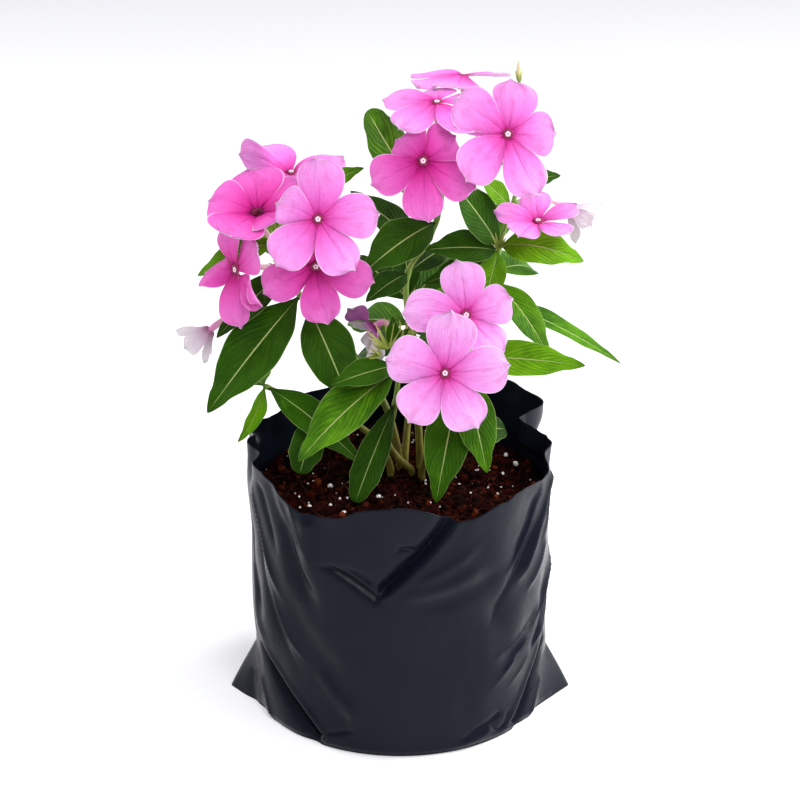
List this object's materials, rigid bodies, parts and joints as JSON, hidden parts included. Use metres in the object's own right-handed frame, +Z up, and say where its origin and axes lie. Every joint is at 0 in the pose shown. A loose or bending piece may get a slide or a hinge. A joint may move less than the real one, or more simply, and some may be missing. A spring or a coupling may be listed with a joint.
{
  "type": "potted madagascar periwinkle in a grow bag",
  "caption": "Leafy flowering plant with orchid-pink five-petalled blooms, growing from dark potting mix in a soft black film grow bag.",
  "frame": {"origin": "on the ground under the middle of the bag", "axes": "+Z up, the pictured front looks to -Y, +X to the right of the front"},
  "size_m": [0.181, 0.1278, 0.2796],
  "materials": {
    "bag": "satin",
    "soil": "matte",
    "leaf": "satin",
    "petal_pink": "matte",
    "petal_deep": "matte",
    "petal_pale": "matte"
  },
  "bodies": {
    "root": {"bag": "bag", "soil": "soil", "leafy_stem_left": "leaf", "leafy_stem_low_left": "leaf", "leafy_stem_front": "leaf", "leafy_stem_centre": "leaf", "leafy_stem_right": "leaf", "leafy_stem_front_right": "leaf", "leafy_stem_back": "leaf", "bloom_left_front": "petal_pink", "bloom_left_funnel": "petal_pink", "bloom_left_top": "petal_pink", "bloom_right_front": "petal_pink", "bloom_right_back": "petal_pink", "bloom_right_side": "petal_pink", "bloom_centre_top": "petal_pink", "bloom_low_front": "petal_pink", "bloom_low_back": "petal_pink", "bloom_left_under": "petal_deep", "bloom_left_side": "petal_deep", "bloom_centre_front": "petal_deep", "bloom_left_low": "petal_pale", "bloom_right_faded": "petal_pale", "bloom_wilted": "petal_pale"}
  },
  "joints": []
}
